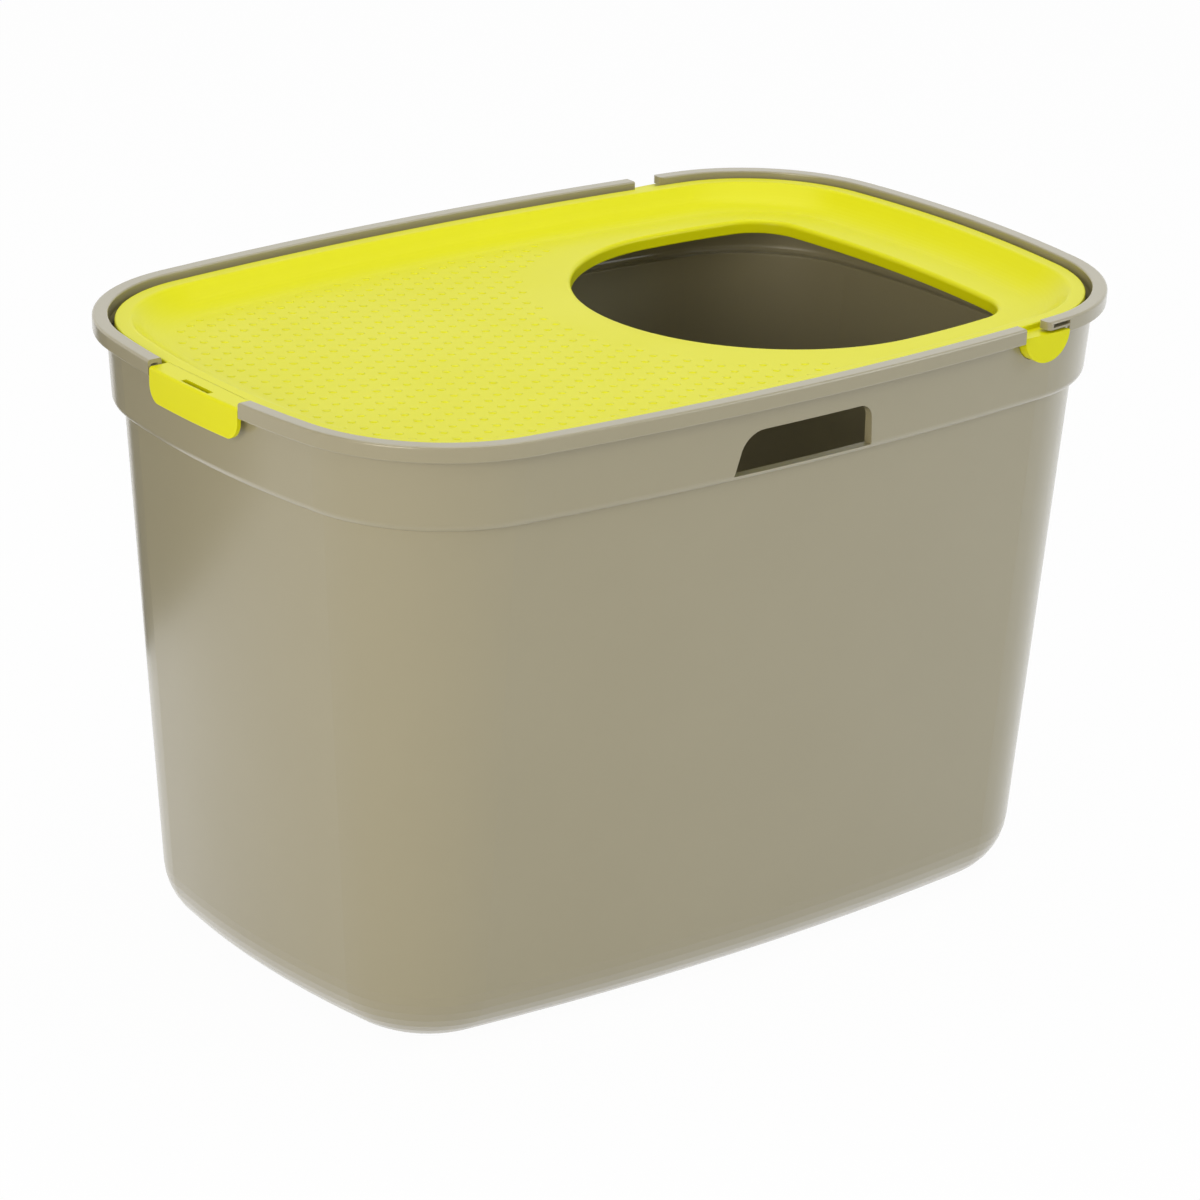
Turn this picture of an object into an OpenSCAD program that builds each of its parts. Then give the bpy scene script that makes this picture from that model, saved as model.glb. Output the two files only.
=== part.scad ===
// Top entry litter box: deep bin, dished swing lid with a D-shaped entry hole, and a snap latch tab.
// Frame: origin at the bottom centre, +X towards the hinge end, -Y the near long side, +Z up. Millimetres.

/* [Overall] */
// height to the rim top
height = 382.5; // [250:0.5:450]
// plan radius of the four corners
corner_radius = 105.2; // [90:0.1:130]
// bow of the long sides: their arc's centre lies 181 of these from the corner's
side_unit = 9.68; // [5:0.01:20]
// bow of the ends: their arc's centre lies 85 of these from the corner's
end_unit = 6.08; // [3:0.01:12]

/* [Bin] */
// wall thickness of the bin
wall = 2.4; // [1.8:0.1:4]
// width of the flat rim top
rim_width = 9.15; // [7:0.05:14]
// depth of the downturned outer skirt
skirt_depth = 9.4; // [6:0.1:16]
// thickness of the skirt
skirt_thick = 2.0; // [1.4:0.1:3]
// inset of the band under the skirt
band_inset = 8.2; // [7:0.1:12]
// inset of the band at its lower edge
band_foot_inset = 11; // [9:0.1:15]
// depth of the band's lower edge below the rim top
band_depth = 47.5; // [30:0.5:80]
// rounding radius under the band
band_round = 6.3; // [4:0.1:10]
// flat shoulder between the band and the wall
shoulder = 1.0; // [0.4:0.1:4]
// draft angle of the lower wall
draft = 4.21; // [1:0.01:8]
// radius between the wall and the base
base_radius = 41; // [20:1:60]

/* [Hand holes] */
// end of the hole towards the latch, at its foot
hand_left = 53; // [40:0.5:70]
// end of the hole towards the hinge, at its foot
hand_right = 48.7; // [40:0.1:70]
// height of the hand holes' sill over the ledge
hand_sill = 1.5; // [0.5:0.1:3]
// height of the hand holes over the ledge
hand_height = 27.4; // [15:0.1:30]
// large top corner radius
hand_big = 16; // [4:0.5:18]
// small top corner radius
hand_small = 9.5; // [3:0.5:14]
// lean of the ends towards the middle
hand_lean = 3; // [0:0.5:6]
// thickness of the collar round the hand holes
collar_thick = 2; // [1.4:0.1:3]
// reach of the collar from the middle of the wall inwards
collar_reach = 3.8; // [2:0.1:6]

/* [Lid] */
// thickness of the lid skin
skin = 2.3; // [1.6:0.1:4]
// depth of the lid's lip below the rim top
lip_depth = 3.5; // [2:0.1:8]
// gap between the lid and the rim
lid_gap = 3.8; // [1:0.1:5]
// width of the flat lip
lip_width = 7.8; // [5:0.1:14]
// depth of the lid's downturned edge below the lip
edge_drop = 5.5; // [3:0.1:9]
// depth of the flat middle below the lip
dish_depth = 12.8; // [6:0.1:20]
// steepest slope of the dish
dish_angle = 42; // [20:1:60]
// radius where the lip turns into the slope
dish_crown = 4; // [2:0.5:8]
// radius where the slope runs into the middle
dish_root = 32; // [15:1:60]

/* [Entry hole] */
// place of the round end's centre along the length
hole_place = 126; // [110:0.5:140]
// radius of the two corners
hole_corner = 31; // [25:0.5:45]
// bow of the sides: their arcs' centres lie 113 of these from the corners'
hole_side_unit = 4.25; // [2:0.01:6]
// bow of the straight end: its arc's centre lies 113 of these from the corners'
hole_end_unit = 5.75; // [3:0.01:8]
// depth of the flange round the hole
flange_depth = 8.6; // [4:0.1:15]
// rounding of the hole's top edge
flange_round = 2.8; // [2.4:0.1:6]

/* [Hinge] */
// distance of the hinge axis from the centre
axis_x = 180.5; // [150:0.5:200]
// height of the hinge axis below the rim top
axis_depth = 6.5; // [5.5:0.1:9]
// radius of the half-round trunnions
drum_radius = 17.5; // [10:0.1:24]
// inset of the trunnion's outer face from the rim outline
drum_inset = 0.2; // [0.1:0.1:3]
// running clearance of the trunnion in its notch
run_gap = 0.35; // [0.2:0.05:0.8]
// gap in the rim, start distance from the centre
gap_start = 161.5; // [140:0.1:170]
// distance of the rim finger's tip past the axis
finger_lead = 0.5; // [0.4:0.1:4]
// end of the finger, where the skirt starts again
finger_end = 199.5; // [190:0.5:210]
// height of the finger
finger_height = 4.9; // [3:0.1:5.5]
// height of the slot in the finger
slot_height = 2.2; // [1:0.1:3]

/* [Latch] */
// half width of the tab
tab_half = 43.8; // [30:0.1:50]
// clearance between the tab and the cut rim
tab_gap = 0.8; // [0.8:0.1:3]
// height of the tab
tab_height = 20; // [14:0.5:26]
// thickness of the tab
tab_thick = 2.4; // [1.8:0.1:4]
// inset of the tab's outer face
tab_inset = 0.4; // [0.2:0.1:3]
// radius of the tab's lower corners
tab_corner = 11; // [4:0.5:15]
// distance of the flex line from the outline
flex_inset = 14.6; // [12:0.1:18]
// half length of the hook, catch and window
hook_half = 13.5; // [8:0.5:20]
// depth of the hook's catching face below the rim top
hook_depth = 19.3; // [14:0.1:20]
// overlap of the hook and the catch
hook_bite = 1.3; // [0.8:0.1:2]
// play between the hook and the catch
hook_play = 1.0; // [0.6:0.1:1.5]
// length of the window over the hook
window_long = 3.9; // [2.5:0.1:6]

/* [Hidden] */
$fn = 96;

// plan outline: tangent arcs that meet on the whole-number directions 19:180 and 84:13
side_way = [19, 180];
end_way = [84, 13];
corner_x = side_unit * side_way[0];
corner_y = end_unit * end_way[1];
side_c = corner_y - side_unit * side_way[1];
end_c = corner_x - end_unit * end_way[0];
side_radius = 181 * side_unit + corner_radius;
end_radius = 85 * end_unit + corner_radius;
hx = end_c + end_radius;
hy = side_c + side_radius;
ang_a = atan2(side_way[1], side_way[0]);
ang_b = atan2(end_way[1], end_way[0]);
plan = [
    [end_c, 0, end_radius, -ang_b, 2 * ang_b],
    [corner_x, corner_y, corner_radius, ang_b, ang_a - ang_b],
    [0, side_c, side_radius, ang_a, 180 - 2 * ang_a],
    [-corner_x, corner_y, corner_radius, 180 - ang_a, ang_a - ang_b],
    [-end_c, 0, end_radius, 180 - ang_b, 2 * ang_b],
    [-corner_x, -corner_y, corner_radius, 180 + ang_b, ang_a - ang_b],
    [0, -side_c, side_radius, 180 + ang_a, 180 - 2 * ang_a],
    [corner_x, -corner_y, corner_radius, 360 - ang_a, ang_a - ang_b]
];

// half width of the outline at a distance along the length
function half_at(x) = side_c + sqrt(side_radius * side_radius - x * x);

// entry hole: tangent arcs that meet on the whole-number directions 112:15, 15:112 and straight across
hole_end_way = [112, 15];
hole_side_way = [15, 112];
tight_x = hole_place + hole_side_unit * hole_side_way[0];
tight_y = hole_end_unit * hole_end_way[1];
hole_y = tight_y - hole_side_unit * hole_side_way[1];
hole_side = 113 * hole_side_unit + hole_corner;
round_r = hole_y + hole_side;
flat_x = tight_x - hole_end_unit * hole_end_way[0];
flat_r = 113 * hole_end_unit + hole_corner;
hang_s = atan2(hole_side_way[1], hole_side_way[0]);
hang_e = atan2(hole_end_way[1], hole_end_way[0]);
hole = [
    [flat_x, 0, flat_r, -hang_e, 2 * hang_e],
    [tight_x, tight_y, hole_corner, hang_e, hang_s - hang_e],
    [hole_place, hole_y, hole_side, hang_s, 90 - hang_s],
    [hole_place, 0, round_r, 90, 180],
    [hole_place, -hole_y, hole_side, 270, 90 - hang_s],
    [tight_x, -tight_y, hole_corner, 360 - hang_s, hang_s - hang_e]
];

// points along an arc
function arc(x, y, r, a, b, n) = [for (i = [0:n]) [x + r * cos(a + (b - a) * i / n), y + r * sin(a + (b - a) * i / n)]];
// a section with its values rounded to hundredths
function even(s) = [for (p = s) [round(p[0] * 100) / 100, round(p[1] * 100) / 100]];
// points round a run of arcs, grown or shrunk by d
function ring(s, d, n) = [for (k = s) for (i = [0:n - 1]) [
    k[0] + (k[2] + d) * cos(k[3] + k[4] * i / n),
    k[1] + (k[2] + d) * sin(k[3] + k[4] * i / n)
]];

// bin section as [inset, height]
z_band = height - band_depth;
z_shoulder = z_band - band_round;
d_wall = band_foot_inset + band_round + shoulder;
base_c = d_wall + (base_radius + (z_shoulder - base_radius) * sin(draft)) / cos(draft);
z_ledge = z_shoulder + wall;
d_inner = d_wall + wall / cos(draft) - (z_ledge - z_shoulder) * tan(draft);
floor_reach = base_c + 4;
under_rim = rim_width - wall;
hand_top = z_ledge + hand_height;
bin_section = concat(
    [[skirt_thick, height - skirt_depth]],
    [[1.2, height - skirt_depth]],
    arc(1.2, height - skirt_depth + 1, 1, 250, 180, 3),
    arc(1.5, height - 1.5, 1.5, 180, 90, 6),
    arc(rim_width - 1, height - 1, 1, 90, 0, 4),
    [[rim_width + 0.15, height - 8]],
    [[band_inset + wall, height - 11]],
    [[band_foot_inset + wall, z_band]],
    arc(band_foot_inset + band_round, z_band, band_round - wall, 180, 270, 6),
    arc(d_inner - 1.2, z_ledge - 1.2, 1.2, 90, -draft, 4),
    arc(base_c, base_radius, base_radius - wall, 180 + draft, 270, 10),
    [[floor_reach, wall]],
    [[floor_reach, 0]],
    arc(base_c, base_radius, base_radius, 270, 180 + draft, 10),
    [[d_wall, z_shoulder]],
    arc(band_foot_inset + band_round, z_band, band_round, 270, 180, 8),
    [[band_inset, height - skirt_depth - 1.6]],
    [[under_rim, height - 8]],
    arc(under_rim - 0.8, height - wall - 0.8, 0.8, 0, 90, 3),
    arc(skirt_thick + 0.8, height - wall - 0.8, 0.8, 90, 180, 3)
);

// lid section as [inset, height]
z_lip = height - lip_depth;
z_mid = z_lip - dish_depth;
d_edge = rim_width + lid_gap;
d_lip = d_edge + lip_width;
d_crown = d_lip + dish_crown * sin(dish_angle);
z_crown = z_lip - dish_crown * (1 - cos(dish_angle));
z_root = z_mid + dish_root * (1 - cos(dish_angle));
d_root = d_crown + (z_crown - z_root) / tan(dish_angle);
d_foot = d_root + dish_root * sin(dish_angle);
lid_reach = d_foot + 6;
lid_section = concat(
    arc(d_edge + 1, z_lip - 1, 1, 180, 90, 4),
    arc(d_lip, z_lip - dish_crown, dish_crown, 90, 90 - dish_angle, 5),
    arc(d_foot, z_mid + dish_root, dish_root, 270 - dish_angle, 270, 8),
    [[lid_reach, z_mid]],
    [[lid_reach, z_mid - skin]],
    arc(d_foot, z_mid + dish_root, dish_root + skin, 270, 270 - dish_angle, 8),
    arc(d_lip, z_lip - dish_crown, dish_crown - skin, 90 - dish_angle, 90, 3),
    arc(d_edge + skin + 1, z_lip - skin - 1, 1, 90, 180, 3),
    [[d_edge + skin, z_lip - edge_drop + 0.6]],
    arc(d_edge + skin / 2, z_lip - edge_drop + 0.6, skin / 2, 0, -180, 4)
);
// flange section as [outset from the hole, height]
flange_section = concat(
    [[7, z_mid]],
    arc(flange_round, z_mid - flange_round, flange_round, 90, 180, 6),
    arc(0.8, z_mid - flange_depth + 0.8, 0.8, 180, 270, 3),
    arc(skin - 0.8, z_mid - flange_depth + 0.8, 0.8, 270, 360, 3),
    [[skin, z_mid - flange_round]],
    arc(flange_round, z_mid - flange_round, flange_round - skin, 180, 90, 3),
    [[7, z_mid - skin]]
);

// hinge and latch places
axis_z = height - axis_depth;
drum_out = half_at(axis_x) - drum_inset;
drum_in = half_at(axis_x) - d_edge - skin - 2;
notch_r = drum_radius + run_gap;
finger_z = height - finger_height;
flex_x = -hx + flex_inset;
flex_r = skin / 2;
flex_z = z_lip - flex_r;
tab_foot = z_lip - tab_height;
hook_z = height - hook_depth;
catch_z = hook_z + hook_play;
catch_x = -hx + tab_inset + tab_thick + 0.9;
hook_x = catch_x + hook_bite;

// one arc of an outline: a section revolved about x, y and trimmed to a wedge in plan
module arc_piece(x, y, r, start, angle, wedge, section) {
    intersection() {
        translate([x, y, 0])
            rotate_extrude(angle = angle, start = start, $fn = r > 400 ? 720 : 96)
                polygon([for (p = even(section)) [r - p[0], p[1]]]);
        translate([0, 0, -10])
            linear_extrude(height = height + 20)
                polygon(wedge);
    }
}

// the pieces of the rim outline, for sections as [inset, height]
module side_piece(section) {
    c = [corner_x, corner_y];
    o = c + side_way * 0.8;
    arc_piece(0, side_c, side_radius, 83, 14, [c, o, [-o[0], o[1]], [-c[0], c[1]]], section);
}
module corner_piece(section) {
    c = [corner_x, corner_y];
    arc_piece(c[0], c[1], corner_radius, 5, 82, [c, c + end_way * 1.7, c + [200, 200], c + side_way * 0.8], section);
}
module end_piece(section) {
    c = [corner_x, corner_y];
    o = c + end_way * 1.7;
    arc_piece(end_c, 0, end_radius, 350, 20, [c, [c[0], -c[1]], [o[0], -o[1]], o], section);
}
module round_plan(section) {
    for (m = [0, 1])
        mirror([0, m, 0])
            side_piece(section);
    for (m = [0, 1])
        mirror([m, 0, 0])
            end_piece(section);
    for (m = [0, 1], n = [0, 1])
        mirror([m, 0, 0])
            mirror([0, n, 0])
                corner_piece(section);
}

// the pieces of the entry hole, for sections as [outset, height]
module round_hole(outset) {
    section = [for (p = outset) [-p[0], p[1]]];
    c = [tight_x, tight_y];
    o = c + hole_end_way * 0.5;
    t = c + hole_side_way * 0.5;
    arc_piece(flat_x, 0, flat_r, 350, 20, [c, [c[0], -c[1]], [o[0], -o[1]], o], section);
    arc_piece(hole_place, 0, round_r, 85, 190, [[hole_place, t[1]], [-40, t[1]], [-40, -t[1]], [hole_place, -t[1]]], section);
    for (m = [0, 1])
        mirror([0, m, 0]) {
            arc_piece(c[0], c[1], hole_corner, 3, 84, [c, o, c + [60, 60], t], section);
            arc_piece(hole_place, hole_y, hole_side, 80, 12, [c, t, [hole_place, t[1]], [hole_place, c[1]]], section);
        }
}

module bin() {
    color([0.62, 0.6, 0.52]) {
        difference() {
            union() {
                round_plan(bin_section);
                linear_extrude(height = wall)
                    polygon(ring(plan, 2 - floor_reach, 10));
                latch_catch();
                for (s = [0, 1])
                    mirror([0, s, 0])
                        hand_collar();
            }
            for (s = [0, 1])
                mirror([0, s, 0]) {
                    hand_cut();
                    hinge_cuts();
                }
            latch_cuts();
        }
        for (s = [0, 1])
            mirror([0, s, 0])
                finger();
    }
}

// rib on the band that the hook snaps under
module latch_catch() {
    translate([0, hook_half + 1.5, 0])
        rotate([90, 0, 0])
            linear_extrude(height = 2 * hook_half + 3)
                polygon([
                    [-hx + band_inset + 1.4, catch_z],
                    [catch_x, catch_z],
                    [catch_x, catch_z + 1.2],
                    [-hx + band_inset + 1.4, catch_z + 5]
                ]);
}

// outline of a hand hole as [length, height], grown by d and closed at a foot height
function hand_outline(d, foot) = concat(
    [[-hand_left - d, foot]],
    arc(-hand_left + hand_lean + hand_big, hand_top - hand_big, hand_big + d, 172, 90, 8),
    arc(hand_right - hand_lean + 1 - hand_small, hand_top - hand_small, hand_small + d, 90, 8, 6),
    [[hand_right + d, foot]]
);

// one hand hole through the band of a long side
module hand_cut() {
    translate([0, -hy + 40, 0])
        rotate([90, 0, 0])
            linear_extrude(height = 32)
                polygon(hand_outline(0, z_ledge + hand_sill));
    // the ledge slopes away behind the sill
    translate([-hand_left, -hy, 0])
        rotate([90, 0, 90])
            linear_extrude(height = hand_left + hand_right)
                polygon([
                    [d_wall - 1.4, z_ledge + 0.2],
                    [d_inner + 1.5, z_ledge + 0.2],
                    [d_inner + 1.5, z_ledge - 2.5]
                ]);
}

// turned-in collar round a hand hole, near long side
module hand_collar() {
    high = hand_top + collar_thick + 1;
    low = z_ledge - 0.8;
    intersection() {
        mirror([0, 1, 0])
            side_piece([
                [band_inset + 2, high],
                [band_inset + 2 + collar_reach, high],
                [band_foot_inset + 2.8 + collar_reach, low],
                [band_foot_inset + 2.8, low]
            ]);
        translate([0, -hy + 40, 0])
            rotate([90, 0, 0])
                linear_extrude(height = 36)
                    polygon(hand_outline(collar_thick, low - 1));
    }
}

// slotted rim piece that holds the trunnion down, near long side
module finger() {
    tip = axis_x + finger_lead;
    edge = half_at(axis_x);
    bar = concat(
        [[0, finger_z]],
        arc(1.5, height - 1.5, 1.5, 180, 90, 6),
        arc(rim_width - 1, height - 1, 1, 90, 0, 4),
        [[rim_width, finger_z]]
    );
    difference() {
        intersection() {
            mirror([0, 1, 0]) {
                side_piece(bar);
                corner_piece(bar);
            }
            translate([0, 0, finger_z - 1])
                linear_extrude(height = finger_height + 2)
                    polygon(concat(
                        arc(tip + 4, -half_at(tip) + 4, 4, 270, 180, 6),
                        arc(tip + 2, -half_at(tip) + rim_width - 2, 2, 180, 90, 4),
                        [[finger_end + 1, -half_at(tip) + rim_width + 8]],
                        [[finger_end + 1, -hy]],
                        [[tip + 4, -hy]]
                    ));
        }
        translate([tip + 4, -hy - 2, finger_z + 1.25])
            cube([finger_end - tip - 4, hy + 2 - edge + rim_width - 1.8, slot_height]);
    }
}

// gap in the rim and notch for the trunnion, near long side
module hinge_cuts() {
    edge = half_at(axis_x);
    low = height - skirt_depth - 1;
    translate([gap_start, -hy - 2, low])
        cube([finger_end - gap_start, hy + 2 - edge + under_rim - 0.6, skirt_depth + 3]);
    translate([gap_start, -hy - 2, axis_z])
        cube([axis_x + notch_r - 1 - gap_start, hy + 2 - edge + 18, axis_depth + 2]);
    translate([gap_start, -hy - 2, finger_z])
        cube([finger_end - gap_start, hy + 2 - edge + 18, finger_height + 2]);
    translate([axis_x, -edge + 16, axis_z])
        rotate([90, 0, 0])
            intersection() {
                cylinder(h = 20, r = notch_r);
                translate([-30, -30, -1])
                    cube([60, 30 + axis_depth - finger_height, 22]);
            }
}

// cut in the rim for the tab
module latch_cuts() {
    reach = tab_half + tab_gap;
    translate([-hx - 2, -reach, height - skirt_depth - 1])
        cube([2 + under_rim - 0.3, 2 * reach, skirt_depth + 3]);
    translate([-hx + under_rim - 1, -reach, z_lip - skin - 0.4])
        cube([12, 2 * reach, 12]);
}

module lid() {
    color([0.9, 0.9, 0.32])
    difference() {
        union() {
            round_plan(lid_section);
            difference() {
                translate([0, 0, z_mid - skin])
                    linear_extrude(height = skin)
                        polygon(ring(plan, 2 - lid_reach, 10));
                translate([0, 0, z_mid - skin - 1])
                    linear_extrude(height = skin + 2)
                        polygon(ring(hole, 5, 12));
            }
            round_hole(flange_section);
            for (s = [0, 1])
                mirror([0, s, 0])
                    trunnion();
        }
        flex_cut();
    }
}

// hollow half-round drum that turns in the notch of the bin
module trunnion() {
    deep = drum_out - drum_in;
    translate([axis_x, -drum_in, axis_z])
        rotate([90, 0, 0])
            difference() {
                intersection() {
                    cylinder(h = deep, r = drum_radius);
                    translate([-30, -30, -1])
                        cube([60, 30, deep + 2]);
                }
                translate([0, 0, -1])
                    intersection() {
                        cylinder(h = deep + 1 - 2.4, r = drum_radius - 2.4);
                        translate([-30, -30, -1])
                            cube([60, 30 - 2.4, deep + 4]);
                    }
            }
}

// opening in the lip for the root of the tab
module flex_cut() {
    reach = tab_half + 0.6;
    translate([-hx, -reach, z_lip - edge_drop - 2])
        cube([flex_inset, 2 * reach, edge_drop + 4]);
    translate([flex_x, reach, flex_z])
        rotate([90, 0, 0])
            cylinder(h = 2 * reach, r = flex_r + 0.1);
    translate([-hx, -reach, z_lip - edge_drop - 2])
        cube([flex_inset + flex_r * 2.4, 2 * reach, edge_drop + 2 - skin - 0.1]);
}

module latch_tab() {
    color([0.85, 0.83, 0.1])
    difference() {
        union() {
            intersection() {
                translate([-end_c, 0, 0])
                    rotate_extrude(angle = 12, start = 174, $fn = 720)
                        polygon([for (p = tab_section) [end_radius - p[0], p[1]]]);
                tab_front();
            }
            translate([flex_x, tab_half, flex_z])
                rotate([90, 0, 0])
                    cylinder(h = 2 * tab_half, r = flex_r);
            hook();
        }
        window();
    }
}

tab_in = tab_inset + tab_thick;
tab_section = concat(
    arc(tab_inset + 1.8, z_lip - 1.8, 1.8, 180, 90, 6),
    [[flex_inset + 4, z_lip]],
    [[flex_inset + 4, z_lip - skin]],
    arc(tab_in + 1, z_lip - skin - 1, 1, 90, 180, 3),
    arc(tab_in - 0.8, tab_foot + 0.8, 0.8, 0, -90, 3),
    arc(tab_inset + 0.8, tab_foot + 0.8, 0.8, 270, 180, 3)
);

// front view of the tab, extruded along the length up to the flex line
module tab_front() {
    translate([-hx - 2, 0, 0])
        rotate([90, 0, 90])
            linear_extrude(height = 2 + flex_inset)
                polygon(concat(
                    [[tab_half, height]],
                    arc(tab_half - tab_corner, tab_foot + tab_corner, tab_corner, 0, -90, 8),
                    arc(tab_corner - tab_half, tab_foot + tab_corner, tab_corner, 270, 180, 8),
                    [[-tab_half, height]]
                ));
}

// wedge on the inside of the tab
module hook() {
    translate([0, hook_half, 0])
        rotate([90, 0, 0])
            linear_extrude(height = 2 * hook_half)
                polygon([
                    [-hx + tab_in - 0.6, hook_z],
                    [hook_x, hook_z],
                    [hook_x, hook_z - 0.9],
                    [-hx + tab_in - 0.6, hook_z - 3.2]
                ]);
}

// moulding window straight above the hook
module window() {
    translate([-hx + tab_in + 0.1, -hook_half, z_lip - skin - 1])
        cube([window_long, 2 * hook_half, skin + 2]);
}

bin();
lid();
latch_tab();
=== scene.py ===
import math

import bpy
import numpy as np
from mathutils import Matrix, Vector


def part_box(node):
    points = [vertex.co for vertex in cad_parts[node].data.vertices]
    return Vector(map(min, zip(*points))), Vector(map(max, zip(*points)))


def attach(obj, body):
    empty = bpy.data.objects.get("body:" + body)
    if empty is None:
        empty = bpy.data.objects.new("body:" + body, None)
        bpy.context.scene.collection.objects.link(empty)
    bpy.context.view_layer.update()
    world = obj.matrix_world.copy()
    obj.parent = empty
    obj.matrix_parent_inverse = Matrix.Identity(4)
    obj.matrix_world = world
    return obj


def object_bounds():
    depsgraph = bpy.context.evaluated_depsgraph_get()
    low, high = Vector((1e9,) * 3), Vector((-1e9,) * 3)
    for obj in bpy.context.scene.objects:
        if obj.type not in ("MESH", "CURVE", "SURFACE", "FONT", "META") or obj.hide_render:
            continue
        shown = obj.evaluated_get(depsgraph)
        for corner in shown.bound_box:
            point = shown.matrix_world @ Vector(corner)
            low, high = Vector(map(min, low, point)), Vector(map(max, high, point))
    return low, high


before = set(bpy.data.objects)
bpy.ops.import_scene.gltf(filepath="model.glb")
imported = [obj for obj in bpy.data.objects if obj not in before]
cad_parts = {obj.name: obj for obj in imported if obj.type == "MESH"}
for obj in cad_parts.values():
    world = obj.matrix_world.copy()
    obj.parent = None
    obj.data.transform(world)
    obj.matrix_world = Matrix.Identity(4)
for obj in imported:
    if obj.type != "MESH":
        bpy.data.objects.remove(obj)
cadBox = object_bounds()
scene = bpy.context.scene
scene.view_settings.view_transform = "Standard"


# camera where the photograph was taken from, metres and degrees
cameraSetup = {
    "azimuth": -38.86,  # 0 looks along +Y, minus is towards the latch end
    "elevation": 21.13,
    "distance": 2.84,
    "lookAt": (0.0, 0.0, 0.19),  # half way up the bin
    "roll": 1.763,
    "lens": 141.24,  # mm
    "sensor": 36.0,  # mm
    "shift": (0.00023, -0.00076),
    "farClip": 50.0,
}


def makeCamera(setup):
    # back points from the object to the camera, right and up are turned about it by the roll
    az, el, roll = (math.radians(setup[k]) for k in ("azimuth", "elevation", "roll"))
    back = Vector((math.sin(az) * math.cos(el), -math.cos(az) * math.cos(el), math.sin(el)))
    level = Vector((math.cos(az), math.sin(az), 0.0))
    right = math.cos(roll) * level + math.sin(roll) * back.cross(level)
    up = back.cross(right)
    place = Matrix((right, up, back)).transposed().to_4x4()
    place.translation = Vector(setup["lookAt"]) + back * setup["distance"]
    data = bpy.data.cameras.new("camera")
    data.lens = setup["lens"]
    data.sensor_width = setup["sensor"]
    data.shift_x, data.shift_y = setup["shift"]
    data.clip_end = setup["farClip"]
    camera = bpy.data.objects.new("camera", data)
    scene.collection.objects.link(camera)
    camera.matrix_world = place
    scene.camera = camera


makeCamera(cameraSetup)
print("camera placed")


def linearColour(hexText):
    # sRGB hex to linear light, opaque
    part = [int(hexText[i:i + 2], 16) / 255.0 for i in (1, 3, 5)]
    return [c / 12.92 if c <= 0.04045 else ((c + 0.055) / 1.055) ** 2.4 for c in part] + [1.0]


def addNode(tree, kind, settings=None, values=None, links=None):
    # one node with its settings, its socket values and the outputs that feed it
    node = tree.nodes.new(kind)
    for name, value in (settings or {}).items():
        setattr(node, name, value)
    for name, value in (values or {}).items():
        node.inputs[name].default_value = value
    for name, source in (links or {}).items():
        tree.links.new(source, node.inputs[name])
    return node


def newMaterial(name):
    material = bpy.data.materials.new(name)
    material.use_nodes = True
    material.node_tree.nodes.clear()
    return material, material.node_tree


def perMetre(millimetres):
    # noise scale whose features are about this size
    return 1000.0 / millimetres


# bin: warm grey polypropylene, injection moulded in a polished mould
# even colour with faint flow clouds, a soft wide gloss and a very slight ripple in it
binPlastic = {
    "colour": "#A1997B",
    "cloudColour": "#9D9577",
    "cloudSize": 90.0,  # mm, flow marks of the moulding
    "rippleSize": 22.0,  # mm, sink and flow ripple that bends the gloss
    "rippleDepth": 0.00002,  # metres
    "grainSize": 1.1,  # mm, real one is about 0.2 and too fine to show
    "grainDepth": 0.000004,  # metres
    "roughness": (0.29, 0.34),  # least and most, follows the clouds
    "ior": 1.49,
    "gloss": 0.5,
    "polish": 0.85,  # share of the mirror-polished skin on the rim and walls
    "polishRoughness": 0.2,
}

# lid and tab: lime polypropylene, same process, spark-eroded satin mould
# strong even colour, a faint broad gloss with a finer grain, and no polished skin
lidPlastic = {
    "colour": "#E8E60C",
    "cloudColour": "#E4E205",
    "cloudSize": 70.0,
    "rippleSize": 18.0,
    "rippleDepth": 0.00004,
    "grainSize": 0.9,
    "grainDepth": 0.000012,
    "roughness": (0.29, 0.34),
    "ior": 1.4,
    "gloss": 0.3,
    "polish": 0.0,
    "polishRoughness": 0.3,
}

# what both plastics share
mouldPattern = {
    "detail": {"cloud": 3.0, "ripple": 1.0, "grain": 2.0},  # octaves of each noise
    "cloudSpan": (0.3, 0.7),  # nearly all of the cloud noise lies between these
}


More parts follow.
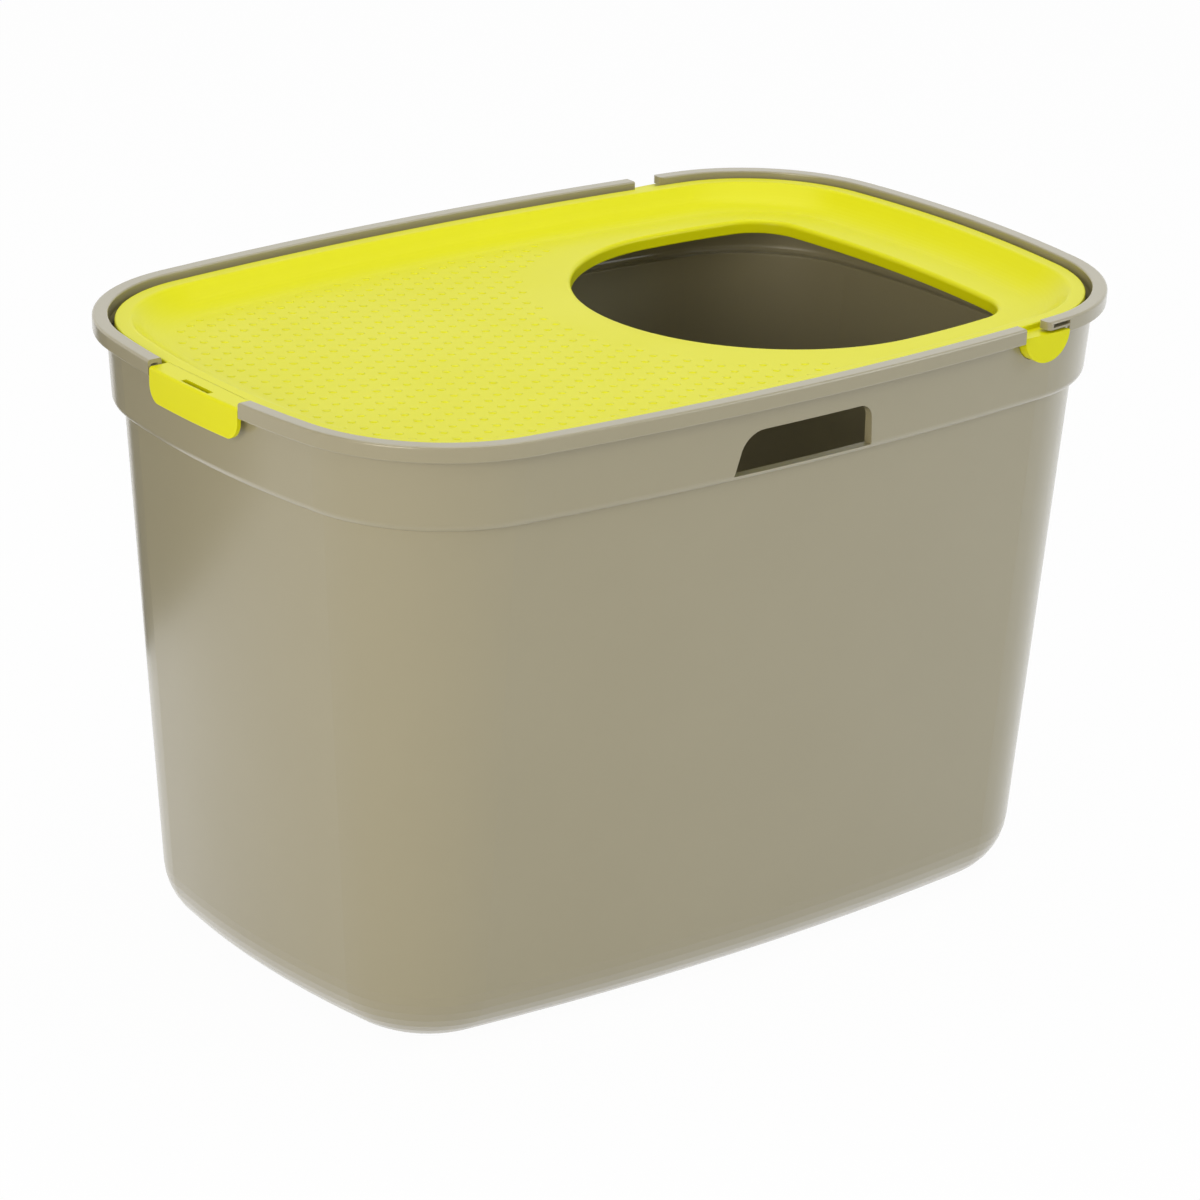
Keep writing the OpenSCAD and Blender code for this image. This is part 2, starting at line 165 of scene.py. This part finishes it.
def mouldedPlastic(name, look, pattern):
    # clouds shift colour and roughness a little, ripple and grain bend the surface's normal
    material, tree = newMaterial(name)
    place = addNode(tree, "ShaderNodeTexCoord").outputs["Object"]
    noise = {}
    for part, detail in pattern["detail"].items():
        node = addNode(tree, "ShaderNodeTexNoise",
                       values={"Scale": perMetre(look[part + "Size"]), "Detail": detail},
                       links={"Vector": place})
        noise[part] = node.outputs["Fac"]
    # numbered sockets: 0 is the factor, 6 and 7 are the two colours, 2 gives the mixed one
    colour = addNode(tree, "ShaderNodeMix", {"data_type": "RGBA"},
                     {6: linearColour(look["colour"]), 7: linearColour(look["cloudColour"])},
                     {0: noise["cloud"]})
    least, most = pattern["cloudSpan"]
    low, high = look["roughness"]
    roughness = addNode(tree, "ShaderNodeMapRange",
                        values={"From Min": least, "From Max": most, "To Min": low, "To Max": high},
                        links={"Value": noise["cloud"]})
    wavy = addNode(tree, "ShaderNodeBump",
                   values={"Strength": 1.0, "Distance": look["rippleDepth"]},
                   links={"Height": noise["ripple"]})
    grainy = addNode(tree, "ShaderNodeBump",
                     values={"Strength": 1.0, "Distance": look["grainDepth"]},
                     links={"Height": noise["grain"], "Normal": wavy.outputs["Normal"]})
    shader = addNode(tree, "ShaderNodeBsdfPrincipled",
                     values={"IOR": look["ior"],
                             "Specular IOR Level": look["gloss"],
                             "Coat Weight": look["polish"],
                             "Coat IOR": look["ior"],
                             "Coat Roughness": look["polishRoughness"]},
                     links={"Base Color": colour.outputs[2],
                            "Roughness": roughness.outputs["Result"],
                            "Normal": grainy.outputs["Normal"]})
    addNode(tree, "ShaderNodeOutputMaterial", links={"Surface": shader.outputs["BSDF"]})
    return material


def dress(nodeName, material):
    # gives a carried-over CAD solid its finish
    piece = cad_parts[nodeName]
    piece.data.materials.clear()
    piece.data.materials.append(material)


greyPolypropylene = mouldedPlastic("greyPolypropyleneMoulded", binPlastic, mouldPattern)
limePolypropylene = mouldedPlastic("limePolypropyleneMoulded", lidPlastic, mouldPattern)
dress("bin", greyPolypropylene)
dress("lid", limePolypropylene)
dress("latch_tab", limePolypropylene)
print("bin, lid and tab finished")


# grip dots on the flat middle of the lid: low domes in a staggered pattern, metres
gripDots = {
    "dishDepth": 0.0128,  # flat middle below the lip
    "pitch": 0.012,  # along Y, within a column
    "columnStep": 0.01066,  # along X, next column is moved by half a pitch
    "firstColumn": -0.2431,
    "lastColumn": 0.064,
    "rowsEachSide": 14,  # more than fit, the outline trims them
    "radius": 0.0026,
    "height": 0.0005,
    "sunk": 0.0003,  # how far the dome's floor lies under the lid's face
    "sides": 10,
    "shoulder": 0.6,  # upper ring's radius as a share of the dome's
    "edgeInset": 0.046,  # from the rim outline
    "cornerRadius": 0.1052,
    "cornerCentre": (0.18392, 0.07904),
    "sideRadius": 1.85728,  # bow of the long sides
    "holeCentre": 0.124,
    "holeMargin": 0.1475,  # from the centre of the round end
}


def dotCentres(d):
    # staggered lattice, kept where the flat middle is and clear of the hole:
    # inside the bowed sides and round corners less the inset, outside the hole's circle
    hx, hy = cadBox[1][0], cadBox[1][1]
    columns = np.arange(0, int((d["lastColumn"] - d["firstColumn"]) / d["columnStep"]) + 1)
    rows = np.arange(-d["rowsEachSide"], d["rowsEachSide"] + 1)
    col, row = np.meshgrid(columns, rows, indexing="ij")
    x = d["firstColumn"] + col * d["columnStep"]
    y = (row + 0.5 * (col % 2)) * d["pitch"]
    cx, cy = d["cornerCentre"]
    inset = d["edgeInset"]
    side = (hy - d["sideRadius"]) + np.sqrt(d["sideRadius"] ** 2 - x ** 2) - inset
    inside = (np.abs(y) < side) & (x > inset - hx)
    beyond = (x < -cx) & (np.abs(y) > cy)
    inCorner = np.hypot(x + cx, np.abs(y) - cy) < d["cornerRadius"] - inset
    clear = np.hypot(x - d["holeCentre"], y) > d["holeMargin"]
    keep = inside & clear & (~beyond | inCorner)
    return np.stack([x[keep], y[keep]], axis=1)


def domeTemplate(d):
    # spherical cap as two rings and a top point, on a skirt that a floor point closes below
    # the ball's radius follows from the cap's radius and height, (r^2 + h^2) / 2h
    n = d["sides"]
    turn = np.arange(n) * 2 * np.pi / n
    ball = (d["radius"] ** 2 + d["height"] ** 2) / (2 * d["height"])
    rings = []
    for share in (1.0, d["shoulder"]):
        r = share * d["radius"]
        z = np.sqrt(ball ** 2 - r ** 2) - (ball - d["height"])
        rings.append(np.stack([r * np.cos(turn), r * np.sin(turn), np.full(n, z)], axis=1))
    foot = rings[0].copy()
    foot[:, 2] = -d["sunk"]
    top, floor = [0, 0, d["height"]], [0, 0, -d["sunk"]]
    points = np.concatenate([foot, rings[0], rings[1], [top, floor]])
    i = np.arange(n)
    j = (i + 1) % n
    topIndex, floorIndex = np.full(n, 3 * n), np.full(n, 3 * n + 1)
    triangles = [
        np.stack([i, j, n + j], 1),
        np.stack([i, n + j, n + i], 1),
        np.stack([n + i, n + j, 2 * n + j], 1),
        np.stack([n + i, 2 * n + j, 2 * n + i], 1),
        np.stack([2 * n + i, 2 * n + j, topIndex], 1),
        np.stack([j, i, floorIndex], 1),
    ]
    return points, np.concatenate(triangles)


def meshFromArrays(name, points, triangles):
    # smooth object at the origin from an array of points and one of their triangles
    mesh = bpy.data.meshes.new(name)
    mesh.vertices.add(len(points))
    mesh.vertices.foreach_set("co", points.astype(np.float32).ravel())
    mesh.loops.add(triangles.size)
    mesh.loops.foreach_set("vertex_index", triangles.astype(np.int32).ravel())
    mesh.polygons.add(len(triangles))
    mesh.polygons.foreach_set("loop_start", np.arange(len(triangles), dtype=np.int32) * 3)
    mesh.polygons.foreach_set("use_smooth", np.ones(len(triangles), bool))
    mesh.update(calc_edges=True)
    mesh.validate()
    piece = bpy.data.objects.new(name, mesh)
    scene.collection.objects.link(piece)
    return piece


def makeGripDots(d):
    # every dome is the template moved to its centre, all as one array
    centres = dotCentres(d)
    points, triangles = domeTemplate(d)
    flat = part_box("lid")[1][2] - d["dishDepth"]
    base = np.column_stack([centres, np.full(len(centres), flat)])
    allPoints = (base[:, None, :] + points[None, :, :]).reshape(-1, 3)
    shift = np.arange(len(centres))[:, None, None] * len(points)
    allTriangles = (triangles[None, :, :] + shift).reshape(-1, 3)
    piece = meshFromArrays("grip_dots", allPoints, allTriangles)
    piece.data.materials.append(limePolypropylene)
    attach(piece, "lid")
    print("grip dots:", len(centres))


makeGripDots(gripDots)


# studio: white floor and backdrop, soft lamps, and a card that paints shade into one reflection
studio = {
    "floorSize": 12.0,
    "floorColour": "#F4F4F4",
    "showWhite": 0.97,  # share of plain white that the eye sees, the rest keeps the shadow
    "world": 0.36,  # strength of the even room light
    "backdropTop": (0.5, 0.85),  # sine of the height where the white backdrop fades out
}

lamps = {
    "topSoftbox": {
        "place": (0.2, 0.1, 2.6), "aim": (0.0, 0.0, 0.3),
        "size": 2.2, "watts": 28.5, "colour": "#FFFFFF",
    },
    "leftSoftbox": {
        "place": (-2.7, -1.3, 1.1), "aim": (0.0, 0.0, 0.15),
        "size": 1.4, "watts": 37.5, "colour": "#FFF7E9",
    },
    "rightSoftbox": {
        "place": (1.9, -1.9, 1.6), "aim": (0.1, 0.0, 0.2),
        "size": 1.4, "watts": 17.5, "colour": "#EEF5FF",
    },
}

# grey card on the floor behind the bin, seen only in the gloss of its walls: painted shade that
# darkens the reflection in the bin's left end
shadeCard = {
    "corner": (-0.82, 0.5),
    "oppositeCorner": (-0.12, 2.2),
    "lift": 0.004,  # off the floor
    "colour": "#7C7C79",
}


def levelSheet(name, low, high, z):
    # rectangle between two corners at one height, facing up
    (x0, y0), (x1, y1) = low, high
    corners = np.array([[x0, y0, z], [x1, y0, z], [x1, y1, z], [x0, y1, z]])
    return meshFromArrays(name, corners, np.array([[0, 1, 2], [0, 2, 3]]))


def shownShare(tree):
    # 1 for rays of the camera, of gloss and of glass, 0 for those that light the object
    path = addNode(tree, "ShaderNodeLightPath").outputs
    share = path["Is Camera Ray"]
    for ray in ("Is Glossy Ray", "Is Transmission Ray"):
        share = addNode(tree, "ShaderNodeMath", {"operation": "MAXIMUM"},
                        links={0: share, 1: path[ray]}).outputs[0]
    return share


def makeFloor(s):
    # pale paper that lights and takes shadow, shown nearly white
    half = s["floorSize"] / 2
    floor = levelSheet("floor", (-half, -half), (half, half), 0.0)
    material, tree = newMaterial("studioFloorPaper")
    paper = addNode(tree, "ShaderNodeBsdfDiffuse",
                    values={"Color": linearColour(s["floorColour"])})
    white = addNode(tree, "ShaderNodeEmission", values={"Strength": 1.0})
    share = addNode(tree, "ShaderNodeMath", {"operation": "MULTIPLY"},
                    {1: s["showWhite"]}, {0: shownShare(tree)})
    mix = addNode(tree, "ShaderNodeMixShader",
                  links={0: share.outputs[0], 1: paper.outputs[0], 2: white.outputs[0]})
    addNode(tree, "ShaderNodeOutputMaterial", links={"Surface": mix.outputs[0]})
    floor.data.materials.append(material)


def makeWorld(s):
    # the eye and the gloss see a white backdrop low down, and everything else the even room
    world = bpy.data.worlds.new("studioWorld")
    world.use_nodes = True
    tree = world.node_tree
    tree.nodes.clear()
    way = addNode(tree, "ShaderNodeTexCoord").outputs["Generated"]
    rise = addNode(tree, "ShaderNodeSeparateXYZ", links={"Vector": way}).outputs["Z"]
    fadeStart, fadeEnd = s["backdropTop"]
    low = addNode(tree, "ShaderNodeMapRange", {"interpolation_type": "SMOOTHSTEP"},
                  {"From Min": fadeStart, "From Max": fadeEnd, "To Min": 1.0, "To Max": 0.0},
                  {"Value": rise})
    share = addNode(tree, "ShaderNodeMath", {"operation": "MULTIPLY"},
                    links={0: shownShare(tree), 1: low.outputs["Result"]})
    plainWhite = linearColour("#FFFFFF")
    room = addNode(tree, "ShaderNodeBackground",
                   values={"Color": plainWhite, "Strength": s["world"]})
    white = addNode(tree, "ShaderNodeBackground",
                    values={"Color": plainWhite, "Strength": 1.0})
    mix = addNode(tree, "ShaderNodeMixShader",
                  links={0: share.outputs[0], 1: room.outputs[0], 2: white.outputs[0]})
    addNode(tree, "ShaderNodeOutputWorld", links={"Surface": mix.outputs[0]})
    scene.world = world


def makeShadeCard(c):
    # dark card that only glossy rays see, no camera, lamp light or shadow: a painted darker
    # reflection on the bin's walls
    card = levelSheet("shade_card", c["corner"], c["oppositeCorner"], c["lift"])
    material, tree = newMaterial("glossOnlyShadeCard")
    felt = addNode(tree, "ShaderNodeBsdfDiffuse", values={"Color": linearColour(c["colour"])})
    addNode(tree, "ShaderNodeOutputMaterial", links={"Surface": felt.outputs[0]})
    card.data.materials.append(material)
    for ray in ("camera", "diffuse", "transmission", "shadow"):
        setattr(card, "visible_" + ray, False)


def makeLamp(name, setup):
    # square softbox at its place, turned to its aim
    data = bpy.data.lights.new(name, "AREA")
    data.shape = "SQUARE"
    data.size = setup["size"]
    data.energy = setup["watts"]
    data.color = linearColour(setup["colour"])[:3]
    lamp = bpy.data.objects.new(name, data)
    scene.collection.objects.link(lamp)
    lamp.location = setup["place"]
    lamp.rotation_mode = "QUATERNION"
    towards = Vector(setup["aim"]) - Vector(setup["place"])
    lamp.rotation_quaternion = towards.to_track_quat("-Z", "Y")
    lamp.visible_camera = False


makeFloor(studio)
makeWorld(studio)
for lampName, lampSetup in lamps.items():
    makeLamp(lampName, lampSetup)
makeShadeCard(shadeCard)
print("studio ready")
